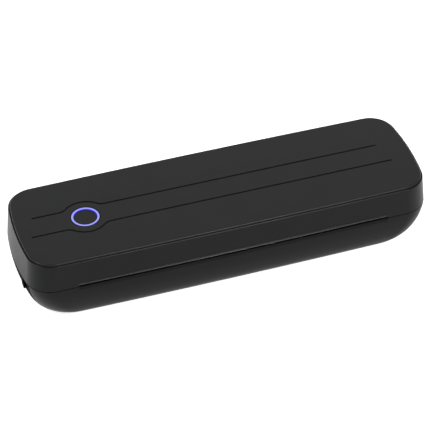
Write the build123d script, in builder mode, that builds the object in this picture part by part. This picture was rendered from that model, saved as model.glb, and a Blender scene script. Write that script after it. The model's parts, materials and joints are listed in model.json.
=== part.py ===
from build123d import *
import math
import os

# Portable A4 direct-thermal printer: a clamshell of a base and a hinged lid.
# Millimetres. +X right, -Y front (paper slot), +Z up.
# Origin: bottom centre of the whole printer, on the surface it stands on.

os.makedirs("parts", exist_ok=True)

# ---------------------------------------------------------------- driving sizes
# casing
body_length = 286.0          # at the parting plane
body_depth = 84.7
foot_height = 1.0            # how far the feet stand below the base
base_height = 29.5           # base shell, from its flat bottom to the parting plane
lid_height = 23.2            # lid, from the parting plane to the top of the crown
parting_gap = 0.5            # fine seam between the closed casings
wall = 2.0
side_bow = 1.15              # how far the long sides bow outwards
end_bow = 5.8                # how far the ends bow outwards at the parting plane
top_end_bow = 4.0            # the same at the lid's top
corner_radius = 17.8
end_flare = 3.1              # each end leans outwards this much from the lid's top to its foot
corner_growth = 0.5          # corners open up as the base draws in towards its bottom
side_undercut = 9.5          # how far the base's long sides draw in
end_undercut = 19.0          # how far its ends draw in
base_draft = 0.07            # lean of the base's upper walls
crown_rise = 0.4             # the top panel is higher along its middle by this much

# top panel
rim_width = 0.6              # bevelled rim of the lid round the panel
rim_bevel = 0.4
panel_gap = 0.4              # seam round the panel
panel_thickness = 2.4
panel_rise = 1.3             # the panel's edge stands this far above the rim
panel_rounding = 1.2
deck_thickness = 1.8         # the lid's deck under the panel
groove_spacing = 18.5        # between the two long grooves
groove_width = 1.4
groove_depth = 0.7
groove_left_inset = 12.0     # front groove's ends, in from the body's ends
groove_right_inset = 20.3
groove_rear_inset = 4.5      # the rear groove's ends are further in by this
groove_bow_radius = 15.4     # the grooves bow round the button at this radius
groove_blend_radius = 8.0    # and turn into the bow at this one

# power button
button_inset = 50.9          # button's middle, in from the left end
button_y = -0.7              # the button and grooves lie this little in front of the body's middle
ring_outer = 19.2            # luminous ring, outer diameter
ring_inner = 16.2
ring_height = 5.2
ring_reveal = 0.5            # dark gap between the panel and the ring
button_recess = 0.6          # button's face, below the ring's
button_clearance = 0.2
button_travel = 0.5
button_cap_height = 6.4
button_flange = 1.2

# paper
slot_inset = 34.5            # slot's ends, in from the body's ends: 217 mm takes A4 and letter paper
slot_height = 1.4            # the lid's lip ends this far above the parting plane
slot_drop = 0.3              # and the base's lip this far below it
upper_lip_depth = 1.0        # both lips slope in towards the slot
upper_lip_height = 2.0
lower_lip_depth = 0.5
lower_lip_height = 2.2
inlet_rise = 2.5             # rear paper inlet, above the parting plane
inlet_drop = 3.5             # and below it
roll_diameter = 33.0
roll_clearance = 1.0         # between roll and tray
tray_wall = 1.5
rib_shares = (-0.9, -1 / 3, 1 / 3, 0.9)   # ribs under the tray, along its half length
tear_pitch = 2.0             # toothed strip behind the slot's upper lip
tear_depth = 0.8
tear_thickness = 0.8
tear_height = 5.0

# platen roller
platen_inset = 15.0          # roller's axis behind the front face
platen_diameter = 11.2
platen_margin = 0.5          # the roller stops this far short of the slot's ends
platen_shaft_diameter = 5.0
nip_gap = 0.2                # room for the paper between roller and print head
bushing_diameter = 8.0
running_gap = 0.05           # radial, shaft in bore

# print head
head_line_rise = 0.9         # the head's top above the parting plane
head_strip_thickness = 1.0
head_strip_depth = 12.0
head_carrier_thickness = 3.6
head_front_reach = 6.0       # from the printing line to the head's front edge
head_rear_reach = 10.5
head_pivot_setback = 8.5     # from the printing line back to the pivot
head_pivot_diameter = 2.4
head_pivot_depth = 4.8       # pin in the carrier
spring_wire = 0.5
spring_diameter = 4.2
spring_length = 3.5
spring_count = 4
spring_turns = 3
rail_thickness = 1.0

# gear train
module = 0.5
platen_teeth = 24
upper_idler_teeth = 20
lower_idler_teeth = 24
pinion_teeth = 12
gear_face = 4.0
tooth_angle = 20
tooth_root = 1.25            # depth of the tooth roots, in modules
backlash = 0.1
idler_pin_diameter = 3.0
idler_shoulder_diameter = 6.0
idler_head_diameter = 4.5
motor_diameter = 15.0
motor_length = 20.0
motor_shaft_diameter = 1.5
motor_bore_depth = 16.0
motor_hole_diameter = 3.0    # through the side frame
lower_idler_angle = -65.0    # from the upper idler to the lower, from +Y towards +Z
pinion_angle = -25.0         # from the lower idler to the motor

# side frames
frame_clearance = 1.5        # from the slot's ends out to the frames
frame_thickness = 1.5
frame_rear_reach = 8.5       # behind the head's pivot
side_gap = 0.5               # between neighbouring plates
bracket_thickness = 1.5
bracket_margin = 1.2         # bracket's plate in front of its bushing
bracket_foot_reach = 8.4     # its foot, behind the roller's axis

# cover lock
lock_inset = 6.3             # lock shaft behind the front face
lock_drop = 4.5              # lock shaft below the parting plane
lock_shaft_diameter = 3.0
lock_hub_diameter = 4.8
lock_swing = 10.0            # degrees, from released to locked
hook_width = 2.2
hook_nose = 2.0
hook_height = 2.2
hook_gap = 0.3
catch_rise = 5.0             # ledge on the lid's brackets, above the parting plane
catch_gap = 0.5              # between the ledge and the locked hook's stem
lever_setback = 19.0         # lever's plate, in from the left end
lever_thickness = 1.5
lever_arm_width = 4.8
tab_length = 6.6
tab_thickness = 4.6
tab_corner = 1.9
tab_rounding = 0.5
tab_reach = 14.4             # from the lock shaft back to the tab's middle
tab_tip_inset = 1.0          # the tab stops short of the body's overall length
window_margin = 0.4          # round the tab's travel

# dark end plate that frames the lock tab
plate_inset = 12.6           # its front and rear edges, in from the body's long sides
plate_drop = 16.5            # its lower edge, below the parting plane
plate_corner = 4.5
plate_thickness = 1.2
plate_gap = 0.15

# lid hinge
hinge_setback = 3.9          # hinge axis in front of the rear face
knuckle_radius = 2.8
knuckle_length = 5.4
knuckle_gap = 0.3
hinge_pin_diameter = 2.5
hinge_relief = 4.6           # the walls stand back this far from the knuckles
pin_fit = 0.02

# electronics and power
cell_diameter = 18.0
cell_length = 65.0
cell_gap = 0.4
cell_setback = 4.5           # cells' axis behind the roller's
holder_wall = 1.5
contact_thickness = 0.5
nub_diameter = 5.5           # a cell's positive end
nub_height = 1.0
board_thickness = 1.2
board_width = 20.5
board_depth = 44.0
processor_size = 9.0
chip_height = 1.4
connector_height = 2.2
board_rise = 11.5            # board's underside above the base's floor
usb_width = 9.0
usb_height = 3.2
usb_depth = 8.0
usb_sheet = 0.3
usb_mouth_depth = 6.4
usb_tongue_width = 6.3
usb_tongue_thickness = 0.8
usb_y = 5.0
button_board_width = 38.0
button_board_depth = 24.0
button_board_corner = 1.4
switch_size = 6.0
switch_height = 3.4
plunger_diameter = 3.2
ribbon_width = 5.5
ribbon_thickness = 0.3
lead_diameter = 1.8

# feet and screws
foot_diameter = 12.0
foot_pocket = 0.6
foot_end_inset = 47.0
foot_side_inset = 23.0
boss_height = 2.5
boss_diameter = 5.6
screw_diameter = 2.4
screw_length = 4.5
screw_head_diameter = 4.4
screw_head_height = 1.4
screw_socket = 0.8           # radius of the six-sided socket
post_diameter = 4.4

# ---------------------------------------------------------------- worked-out places
half_length = body_length / 2
half_depth = body_depth / 2
bottom_z = foot_height
part_z = bottom_z + base_height
top_z = part_z + lid_height
floor_z = bottom_z + wall
panel_edge_z = top_z - crown_rise
rim_z = panel_edge_z - panel_rise
panel_seat_z = top_z - panel_thickness
deck_z = panel_seat_z - deck_thickness
hinge_y = half_depth - hinge_setback
hinge_z = part_z
hinge_pin_length = 3 * knuckle_length + 2 * knuckle_gap
button_x = -half_length + button_inset
groove_left = -half_length + groove_left_inset
groove_right = half_length - groove_right_inset
foot_x = half_length - foot_end_inset
foot_y = half_depth - foot_side_inset
paper_half = half_length - slot_inset
platen_half = paper_half - platen_margin
frame_inner = paper_half + frame_clearance
knuckle_start = frame_inner - side_gap
knuckle_end = knuckle_start + hinge_pin_length + knuckle_gap
platen_y = -half_depth + platen_inset
lock_y = -half_depth + lock_inset
upper_lip_low_z = part_z + slot_height
lower_lip_top_z = part_z - slot_drop
cell_y = platen_y + cell_setback

head_top_z = part_z + head_line_rise
platen_radius = platen_diameter / 2
platen_z = head_top_z + nip_gap + platen_radius
carrier_top_z = head_top_z - head_strip_thickness
carrier_bottom_z = carrier_top_z - head_carrier_thickness
head_pivot_y = platen_y + head_pivot_setback
head_pivot_z = (carrier_top_z + carrier_bottom_z) / 2
rail_top_z = carrier_bottom_z - spring_length

lock_z = part_z - lock_drop
frame_outer = frame_inner + frame_thickness
bracket_inner = frame_outer + side_gap
bracket_outer = bracket_inner + bracket_thickness
gear_inner = bracket_outer + 2 * side_gap
gear_outer = gear_inner + gear_face
shaft_radius = platen_shaft_diameter / 2
bushing_radius = bushing_diameter / 2
roll_radius = roll_diameter / 2
bay_radius = roll_radius + roll_clearance
bay_y = hinge_y - knuckle_radius / 2 - tray_wall - bay_radius
bay_z = floor_z + side_gap + tray_wall + bay_radius


def polar(centre, distance, angle):
    """A point at a distance and angle from a centre, in the YZ plane."""
    y = centre[0] + distance * math.cos(math.radians(angle))
    z = centre[1] + distance * math.sin(math.radians(angle))
    return (y, z)


# The upper idler sits under the platen on the line along which the platen lifts away.
platen_centre = (platen_y, platen_z)
lift_angle = math.degrees(math.atan2(platen_z - hinge_z, platen_y - hinge_y)) + 90
upper_centre = polar(platen_centre, module * (platen_teeth + upper_idler_teeth) / 2, lift_angle)
lower_centre = polar(upper_centre, module * (upper_idler_teeth + lower_idler_teeth) / 2, lower_idler_angle)
pinion_centre = polar(lower_centre, module * (lower_idler_teeth + pinion_teeth) / 2, pinion_angle)


def mirrored(x_low, x_high):
    """The same stretch of X on the left and on the right, each as (low, high)."""
    return {"left": (-x_high, -x_low), "right": (x_low, x_high)}


# ---------------------------------------------------------------- casing outlines
def plan_outline(z, half_x, half_y, bow, corner):
    """Plan of the casing at one height: four shallow arcs joined by rounded corners."""
    corner_x = half_x - bow
    corner_y = half_y - side_bow
    with BuildSketch(Plane.XY.offset(z)) as plan:
        with BuildLine():
            ThreePointArc((-corner_x, -corner_y), (0, -half_y), (corner_x, -corner_y))
            ThreePointArc((corner_x, -corner_y), (half_x, 0), (corner_x, corner_y))
            ThreePointArc((corner_x, corner_y), (0, half_y), (-corner_x, corner_y))
            ThreePointArc((-corner_x, corner_y), (-half_x, 0), (-corner_x, -corner_y))
        make_face()
        fillet(plan.vertices(), corner)
    return plan.sketch


def draw_in(undercut, depth):
    """How far a base wall has drawn in at a depth below the parting plane."""
    share = depth / base_height
    return undercut * (1 - math.sqrt(1 - share**2)) + base_draft * depth * (1 - share)


def base_outline(z, inward):
    """The base's plan at a height, moved inwards by a wall."""
    depth = part_z - z
    end = draw_in(end_undercut, depth)
    side = draw_in(side_undercut, depth)
    corner = corner_radius + corner_growth * (end + side) / 2 - inward
    return plan_outline(z, half_length - end - inward, half_depth - side - inward, end_bow, corner)


def lid_outline(z, inward):
    """The lid's plan at a height, moved inwards by a wall."""
    share = (z - part_z) / lid_height
    bow = end_bow + (top_end_bow - end_bow) * share
    half_x = half_length - end_flare * share - inward
    return plan_outline(z, half_x, half_depth - inward, bow, corner_radius - inward)


base_steps = (0, 0.12, 0.25, 0.37, 0.49, 0.6, 0.7, 0.79, 0.86, 0.92, 0.96, 0.99, 1)


def knuckle_places(positions):
    """Left and right X ranges of the hinge knuckles at the given positions."""
    pitch = knuckle_length + knuckle_gap
    ranges = []
    for position in positions:
        low = knuckle_start + position * pitch
        ranges += mirrored(low, low + knuckle_length).values()
    return ranges


def plate_profile(x_low, x_high, points):
    """A plate across X, between two X values, with a YZ outline of straight edges."""
    with BuildPart() as plate:
        with BuildSketch(Plane.YZ.offset(x_low)):
            with BuildLine():
                Polyline(*points, close=True)
            make_face()
        extrude(amount=x_high - x_low)
    return plate.part


def rod(x_low, x_high, centre, diameter, bore=0):
    """A round bar or tube along X."""
    with BuildPart() as bar:
        with BuildSketch(Plane.YZ.offset(x_low)):
            with Locations(centre):
                Circle(diameter / 2)
                if bore:
                    Circle(bore / 2, mode=Mode.SUBTRACT)
        extrude(amount=x_high - x_low)
    return bar.part


def block(x_range, y_range, z_range):
    """A rectangular block between named limits."""
    with BuildPart() as box:
        with Locations((sum(x_range) / 2, sum(y_range) / 2, z_range[0])):
            Box(
                x_range[1] - x_range[0],
                y_range[1] - y_range[0],
                z_range[1] - z_range[0],
                align=(Align.CENTER, Align.CENTER, Align.MIN),
            )
    return box.part


def save(part, name):
    """Label a finished piece and write it out."""
    part.label = name
    export_step(part, f"parts/{name}.step")


# ---------------------------------------------------------------- base shell
tab_y = lock_y + tab_reach
tab_z = lock_z


def turned(point, angle):
    """A YZ point turned about the lock shaft, from +Y towards +Z."""
    y, z = point[0] - lock_y, point[1] - lock_z
    c, s = math.cos(math.radians(angle)), math.sin(math.radians(angle))
    return (lock_y + y * c - z * s, lock_z + y * s + z * c)


tab_corners = [(tab_y + front * tab_length / 2, tab_z + low * tab_thickness / 2)
               for front in (-1, 1) for low in (-1, 1)]
tab_travel = tab_corners + [turned(corner, -lock_swing) for corner in tab_corners]
window_y = [min(y for y, z in tab_travel) - window_margin, max(y for y, z in tab_travel) + window_margin]
window_z = [min(z for y, z in tab_travel) - window_margin, max(z for y, z in tab_travel) + window_margin]
board_z = floor_z + board_rise
board_top = board_z + board_thickness
board_low_x = bracket_outer + side_gap
board_high_x = board_low_x + board_width
usb_z = board_top + usb_height / 2
frame_foot_z = floor_z + boss_height
frame_screws_at = [(side * (frame_outer + boss_diameter / 2 + side_gap), platen_y + step)
                   for side in (-1, 1) for step in (0, 2 * boss_diameter)]
board_screws_at = [(board_low_x + boss_diameter / 2, (board_depth - boss_diameter) / 2),
                   (board_high_x - boss_diameter, (board_depth - boss_diameter) / 2),
                   (board_high_x - boss_diameter, (boss_diameter - board_depth) / 2)]


lever_x = -half_length + lever_setback


def plate_region(grown):
    """The stretch of the left end that the end plate covers, grown by a gap all round."""
    with BuildPart() as region:
        with BuildSketch(Plane.YZ.offset(-half_length)):
            with Locations((0, part_z)):
                RectangleRounded(body_depth - 2 * plate_inset + 2 * grown, 2 * (plate_drop + grown), plate_corner)
        extrude(amount=lever_setback)
    return region.part


with BuildPart() as base_form:
    for share in base_steps:
        add(base_outline(part_z - share * base_height, 0))
    loft(ruled=True)

with BuildPart() as base_cavity:
    for share in base_steps:
        add(base_outline(part_z - share * (base_height - wall), wall))
    loft(ruled=True)

# the base's form drawn in by the end plate's thickness
with BuildPart() as plate_bed:
    for share in base_steps:
        add(base_outline(part_z - share * (base_height - plate_thickness), plate_thickness))
    loft(ruled=True)


def slot_stretch(low_z, high_z):
    """A block across the front wall over the paper slot's length."""
    return block((-paper_half, paper_half), (-half_depth - 1, -half_depth + 2 * wall), (low_z, high_z))


# its slope runs on as far outside the wall as it goes in
with BuildPart() as lower_lip:
    add(base_outline(lower_lip_top_z - 2 * lower_lip_height, -lower_lip_depth))
    add(base_outline(lower_lip_top_z, lower_lip_depth))
    loft(ruled=True)

with BuildPart() as base_fittings:
    # webs that carry the hinge knuckles
    for low, high in knuckle_places((0, 2)):
        add(block((low, high), (hinge_y - knuckle_radius, half_depth), (part_z - base_height / 2, hinge_z)))
    # bosses for the side frames and posts for the main board
    with BuildSketch(Plane.XY.offset(bottom_z)):
        with Locations(*frame_screws_at):
            Circle(boss_diameter / 2)
    extrude(amount=frame_foot_z - bottom_z)
    with BuildSketch(Plane.XY.offset(bottom_z)):
        with Locations(*board_screws_at):
            Circle(boss_diameter / 2)
    extrude(amount=board_z - bottom_z)
    add(base_form.part, mode=Mode.INTERSECT)

with BuildPart() as base_shell:
    add(base_form.part)
    add(base_cavity.part, mode=Mode.SUBTRACT)
    # rear paper inlet, and deeper pockets for the hinge
    add(block((-half_length, half_length), (hinge_y - 1, half_depth + 1),
              (part_z - inlet_drop, part_z + 1)), mode=Mode.SUBTRACT)
    for low, high in knuckle_places((1,)):
        add(block((low - knuckle_gap, high + knuckle_gap), (hinge_y - hinge_relief, half_depth + 1),
                  (part_z - hinge_relief, part_z + 1)), mode=Mode.SUBTRACT)
    add(base_fittings.part)
    for low, high in knuckle_places((0, 2)):
        add(block((low, high), (hinge_y + knuckle_radius, half_depth), (part_z - base_height / 2, part_z)),
            mode=Mode.SUBTRACT)
        add(rod(low, high, (hinge_y, hinge_z), 2 * knuckle_radius))
    for low, high in mirrored(knuckle_start, knuckle_start + hinge_pin_length).values():
        add(rod(low, high, (hinge_y, hinge_z), hinge_pin_diameter + 2 * pin_fit), mode=Mode.SUBTRACT)
    # paper slot, and its sloping lower lip
    add(slot_stretch(lower_lip_top_z, part_z + 1), mode=Mode.SUBTRACT)
    add(slot_stretch(lower_lip_top_z - 2 * lower_lip_height, lower_lip_top_z) - lower_lip.part,
        mode=Mode.SUBTRACT)
    # bed of the end plate, and the window for the lock tab
    add(plate_region(plate_gap) - plate_bed.part, mode=Mode.SUBTRACT)
    add(block((-half_length, lever_x), window_y, window_z), mode=Mode.SUBTRACT)
    # USB-C opening in the right end
    with BuildSketch(Plane.YZ.offset(half_length - corner_radius / 2)):
        with Locations((usb_y, usb_z)):
            SlotOverall(usb_width + 2 * pin_fit + side_gap, usb_height + side_gap)
    extrude(amount=corner_radius / 2, mode=Mode.SUBTRACT)
    # pockets for the feet
    with BuildSketch(Plane.XY.offset(bottom_z)):
        with GridLocations(2 * foot_x, 2 * foot_y, 2, 2):
            Circle(foot_diameter / 2)
    extrude(amount=foot_pocket, mode=Mode.SUBTRACT)
    # screw holes
    with BuildSketch(Plane.XY.offset(frame_foot_z)):
        with Locations(*frame_screws_at):
            Circle(screw_diameter / 2)
    extrude(amount=-(screw_length - frame_thickness), mode=Mode.SUBTRACT)
    with BuildSketch(Plane.XY.offset(board_z)):
        with Locations(*board_screws_at):
            Circle(screw_diameter / 2)
    extrude(amount=-screw_length, mode=Mode.SUBTRACT)
save(base_shell.part, "base_shell")

with BuildPart() as end_plate:
    add(plate_region(0))
    add(base_form.part, mode=Mode.INTERSECT)
    add(plate_bed.part, mode=Mode.SUBTRACT)
    add(block((-half_length, lever_x), window_y, window_z), mode=Mode.SUBTRACT)
save(end_plate.part, "end_plate")

for name, (x, y) in {
    "foot_front_left": (-foot_x, -foot_y),
    "foot_front_right": (foot_x, -foot_y),
    "foot_rear_left": (-foot_x, foot_y),
    "foot_rear_right": (foot_x, foot_y),
}.items():
    with BuildPart() as foot:
        with Locations((x, y, 0)):
            Cylinder(foot_diameter / 2 - pin_fit, foot_height + foot_pocket,
                     align=(Align.CENTER, Align.CENTER, Align.MIN))
        chamfer(foot.edges().group_by(Axis.Z)[0], foot_height / 2)
    save(foot.part, name)

# ---------------------------------------------------------------- lid shell
lid_low_z = part_z + parting_gap
button_hole = ring_outer / 2 + button_clearance
button_board_top = top_z - button_cap_height - 2 * button_clearance - switch_height - 2 * button_travel
button_posts_at = [(button_x + side * (button_board_width - post_diameter) / 2, button_y)
                   for side in (-1, 1)]
bracket_screws_at = [(side * (bracket_inner - boss_diameter / 2), y) for side in (-1, 1)
                     for y in (platen_y - boss_diameter / 2, platen_y + boss_diameter)]
bracket_foot_z = deck_z - boss_height

with BuildPart() as lid_cavity:
    add(lid_outline(lid_low_z, wall))
    add(lid_outline(deck_z, wall))
    loft(ruled=True)

with BuildPart() as upper_lip:
    add(lid_outline(upper_lip_low_z, upper_lip_depth))
    add(lid_outline(upper_lip_low_z + 2 * upper_lip_height, -upper_lip_depth))
    loft(ruled=True)

with BuildPart() as lid_shell:
    add(lid_outline(lid_low_z, 0))
    add(lid_outline(rim_z - rim_bevel, 0))
    add(lid_outline(rim_z, rim_bevel))
    loft(ruled=True)
    add(lid_cavity.part, mode=Mode.SUBTRACT)
    # seat of the top panel
    with BuildSketch(Plane.XY.offset(panel_seat_z)):
        add(lid_outline(rim_z, rim_width))
    extrude(amount=panel_thickness, mode=Mode.SUBTRACT)
    # paper slot, and its sloping upper lip
    add(slot_stretch(part_z, upper_lip_low_z), mode=Mode.SUBTRACT)
    add(slot_stretch(upper_lip_low_z, upper_lip_low_z + 2 * upper_lip_height) - upper_lip.part,
        mode=Mode.SUBTRACT)
    # rear paper inlet, and deeper pockets for the hinge
    add(block((-knuckle_end, knuckle_end), (hinge_y - 1, half_depth + 1),
              (part_z, part_z + inlet_rise)), mode=Mode.SUBTRACT)
    for low, high in knuckle_places((0, 2)):
        add(block((low - knuckle_gap, high + knuckle_gap), (hinge_y - hinge_relief, half_depth + 1),
                  (part_z, part_z + hinge_relief)), mode=Mode.SUBTRACT)
    # hinge knuckles on webs that hang from the rear wall
    for low, high in knuckle_places((1,)):
        add(block((low, high), (hinge_y - knuckle_radius, hinge_y + knuckle_radius - wall / 2),
                  (hinge_z, hinge_z + lid_height / 2)))
        add(rod(low, high, (hinge_y, hinge_z), 2 * knuckle_radius))
        add(rod(low, high, (hinge_y, hinge_z), hinge_pin_diameter + 2 * running_gap), mode=Mode.SUBTRACT)
    # hole for the ring and button
    with BuildSketch(Plane.XY.offset(deck_z)):
        with Locations((button_x, button_y)):
            Circle(button_hole)
    extrude(amount=deck_thickness, mode=Mode.SUBTRACT)
    # posts for the button board and bosses for the platen brackets
    with BuildSketch(Plane.XY.offset(deck_z)):
        with Locations(*button_posts_at):
            Circle(post_diameter / 2)
    extrude(amount=button_board_top - deck_z)
    with BuildSketch(Plane.XY.offset(deck_z)):
        with Locations(*bracket_screws_at):
            Circle(boss_diameter / 2)
    extrude(amount=-boss_height)
    with BuildSketch(Plane.XY.offset(button_board_top)):
        with Locations(*button_posts_at):
            Circle(screw_diameter / 2)
    extrude(amount=screw_length, mode=Mode.SUBTRACT)
    with BuildSketch(Plane.XY.offset(bracket_foot_z)):
        with Locations(*bracket_screws_at):
            Circle(screw_diameter / 2)
    extrude(amount=screw_length - bracket_thickness, mode=Mode.SUBTRACT)
save(lid_shell.part, "lid_shell")

# ---------------------------------------------------------------- top panel
groove_half = groove_spacing / 2
bow_and_blend = groove_bow_radius + groove_blend_radius
bow_reach = math.sqrt(bow_and_blend**2 - (groove_half + groove_blend_radius)**2)
bow_share = groove_bow_radius / bow_and_blend
bow_meet_x = bow_reach * bow_share
bow_meet_y = (groove_half + groove_blend_radius) * bow_share

with BuildPart() as top_panel:
    with BuildSketch(Plane.XY.offset(panel_seat_z)):
        add(lid_outline(rim_z, rim_width + panel_gap))
    extrude(amount=panel_thickness)
    # crowned from front to rear
    crown_half = half_depth - rim_width
    with BuildSketch(Plane.YZ):
        with BuildLine():
            ThreePointArc((-crown_half, panel_edge_z), (0, top_z), (crown_half, panel_edge_z))
            Polyline((crown_half, panel_edge_z), (crown_half, panel_seat_z),
                     (-crown_half, panel_seat_z), (-crown_half, panel_edge_z))
        make_face()
    extrude(amount=half_length, both=True, mode=Mode.INTERSECT)
    crown = max(top_panel.faces(), key=lambda face: face.center().Z)
    fillet(crown.edges(), panel_rounding)
    # two long grooves that bow round the button
    for side, inset in ((-1, 0), (1, groove_rear_inset)):
        straight_y = button_y + side * groove_half
        meet_y = button_y + side * bow_meet_y
        with BuildSketch(Plane.XY.offset(top_z - groove_depth)):
            with BuildLine():
                Line((groove_left + inset, straight_y), (button_x - bow_reach, straight_y))
                TangentArc((button_x - bow_reach, straight_y), (button_x - bow_meet_x, meet_y), tangent=(1, 0))
                ThreePointArc((button_x - bow_meet_x, meet_y), (button_x, button_y + side * groove_bow_radius),
                              (button_x + bow_meet_x, meet_y))
                TangentArc((button_x + bow_reach, straight_y), (button_x + bow_meet_x, meet_y), tangent=(-1, 0))
                Line((button_x + bow_reach, straight_y), (groove_right - inset, straight_y))
            trace(line_width=groove_width)
        extrude(amount=groove_depth, mode=Mode.SUBTRACT)
    with BuildSketch(Plane.XY.offset(panel_seat_z)):
        with Locations((button_x, button_y)):
            Circle(ring_outer / 2 + ring_reveal)
    extrude(amount=panel_thickness, mode=Mode.SUBTRACT)
save(top_panel.part, "top_panel")

# ---------------------------------------------------------------- power button
ring_top_z = top_z - crown_rise / 10
ring_bottom_z = ring_top_z - ring_height
button_top_z = ring_top_z - button_recess
button_skirt_z = ring_bottom_z - button_clearance
button_foot_z = button_skirt_z - button_flange

with BuildPart() as light_ring:
    with BuildSketch(Plane.XY.offset(ring_bottom_z)):
        with Locations((button_x, button_y)):
            Circle(ring_outer / 2)
            Circle(ring_inner / 2, mode=Mode.SUBTRACT)
    extrude(amount=ring_height)
    with BuildSketch(Plane.XY.offset(ring_bottom_z)):
        with Locations((button_x, button_y)):
            Circle(ring_outer / 2 + button_flange)
            Circle(ring_inner / 2, mode=Mode.SUBTRACT)
    extrude(amount=deck_z - ring_bottom_z)
save(light_ring.part, "light_ring")

with BuildPart() as power_button:
    with BuildSketch(Plane.XY.offset(button_foot_z)):
        with Locations((button_x, button_y)):
            Circle(ring_inner / 2 - button_clearance)
    extrude(amount=button_top_z - button_foot_z)
    fillet(power_button.edges().group_by(Axis.Z)[-1], button_clearance)
    # flange that keeps the button under the ring
    with BuildSketch(Plane.XY.offset(button_foot_z)):
        with Locations((button_x, button_y)):
            Circle(ring_inner / 2 + button_flange)
    extrude(amount=button_flange)
save(power_button.part, "power_button")

plunger_top_z = button_foot_z
switch_top_z = plunger_top_z - 2 * button_travel
button_board_z = button_board_top - board_thickness
with BuildPart() as switch_plunger:
    with Locations((button_x, button_y, switch_top_z - button_travel)):
        Cylinder(plunger_diameter / 2, plunger_top_z - switch_top_z + button_travel,
                 align=(Align.CENTER, Align.CENTER, Align.MIN))
save(switch_plunger.part, "switch_plunger")

with BuildPart() as button_switch:
    with Locations((button_x, button_y, button_board_top)):
        Box(switch_size, switch_size, switch_top_z - button_board_top,
            align=(Align.CENTER, Align.CENTER, Align.MIN))
    with Locations((button_x, button_y, switch_top_z)):
        Hole(plunger_diameter / 2 + running_gap, depth=3 * button_travel)
save(button_switch.part, "button_switch")

with BuildPart() as button_board:
    with BuildSketch(Plane.XY.offset(button_board_z)):
        with Locations((button_x, button_y)):
            RectangleRounded(button_board_width, button_board_depth, button_board_corner)
        with Locations(*button_posts_at):
            Circle(screw_diameter / 2 + pin_fit, mode=Mode.SUBTRACT)
    extrude(amount=board_thickness)
save(button_board.part, "button_board")

# ---------------------------------------------------------------- lid hinge
for side, (low, high) in mirrored(knuckle_start, knuckle_start + hinge_pin_length).items():
    with BuildPart() as hinge_pin:
        add(rod(low, high, (hinge_y, hinge_z), hinge_pin_diameter))
    save(hinge_pin.part, f"hinge_pin_{side}")


# ---------------------------------------------------------------- gears
def gear(teeth, centre, phase, bore):
    """A spur gear across X at the gear stations; phase is the angle of one tooth's middle."""
    pitch_radius = module * teeth / 2
    root_radius = pitch_radius - tooth_root * module
    tip_radius = pitch_radius + module
    half_tooth = math.pi * module / 4 - backlash / 2
    slope = math.tan(math.radians(tooth_angle))
    half_root = half_tooth + tooth_root * module * slope
    half_tip = half_tooth - module * slope
    with BuildPart() as wheel:
        with BuildSketch(Plane.YZ.offset(-gear_outer)):
            with Locations(centre):
                Circle(root_radius)
                with PolarLocations(0, teeth, start_angle=phase):
                    Polygon((root_radius - module / 2, -half_root), (tip_radius, -half_tip),
                            (tip_radius, half_tip), (root_radius - module / 2, half_root), align=None)
                Circle(bore / 2, mode=Mode.SUBTRACT)
        extrude(amount=gear_face)
    return wheel.part


def meshing_phase(teeth, driver_teeth, driver_phase, direction):
    """Phase of a gear that meshes with its driver, in the direction from driver to gear."""
    share = ((direction - driver_phase) / (360 / driver_teeth)) % 1
    return direction + 180 + (share + 1 / 2) * 360 / teeth


upper_phase = meshing_phase(upper_idler_teeth, platen_teeth, lift_angle, lift_angle)
lower_phase = meshing_phase(lower_idler_teeth, upper_idler_teeth, upper_phase, lower_idler_angle)
pinion_phase = meshing_phase(pinion_teeth, lower_idler_teeth, lower_phase, pinion_angle)

save(gear(platen_teeth, platen_centre, lift_angle, platen_shaft_diameter + 2 * pin_fit), "platen_gear")
idler_bore = idler_pin_diameter + 2 * running_gap
save(gear(upper_idler_teeth, upper_centre, upper_phase, idler_bore), "idler_gear_upper")
save(gear(lower_idler_teeth, lower_centre, lower_phase, idler_bore), "idler_gear_lower")
save(gear(pinion_teeth, pinion_centre, pinion_phase, motor_shaft_diameter + 2 * pin_fit), "motor_pinion")

with BuildPart() as idler_pins:
    for centre in (upper_centre, lower_centre):
        add(rod(-gear_outer - side_gap, -frame_inner, centre, idler_pin_diameter))
        # shoulder that spaces the gear from the frame, and a head that keeps it on
        add(rod(-gear_inner + running_gap, -frame_outer, centre, idler_shoulder_diameter))
        add(rod(-gear_outer - 2 * side_gap, -gear_outer - running_gap, centre, idler_head_diameter))
save(idler_pins.part, "idler_pins")

# ---------------------------------------------------------------- platen roller
platen_shaft_end = bracket_outer + 2 * side_gap
with BuildPart() as platen_shaft:
    add(rod(-gear_outer - side_gap, platen_shaft_end, platen_centre, platen_shaft_diameter))
    chamfer(platen_shaft.edges().filter_by(GeomType.CIRCLE), side_gap)
save(platen_shaft.part, "platen_shaft")

with BuildPart() as platen_roller:
    add(rod(-platen_half, platen_half, platen_centre, platen_diameter,
            platen_shaft_diameter + 2 * pin_fit))
save(platen_roller.part, "platen_roller")

for side, (low, high) in mirrored(frame_inner - side_gap, bracket_outer).items():
    with BuildPart() as bushing:
        add(rod(low, high, platen_centre, bushing_diameter, platen_shaft_diameter + 2 * running_gap))
    save(bushing.part, f"platen_bushing_{side}")

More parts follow.
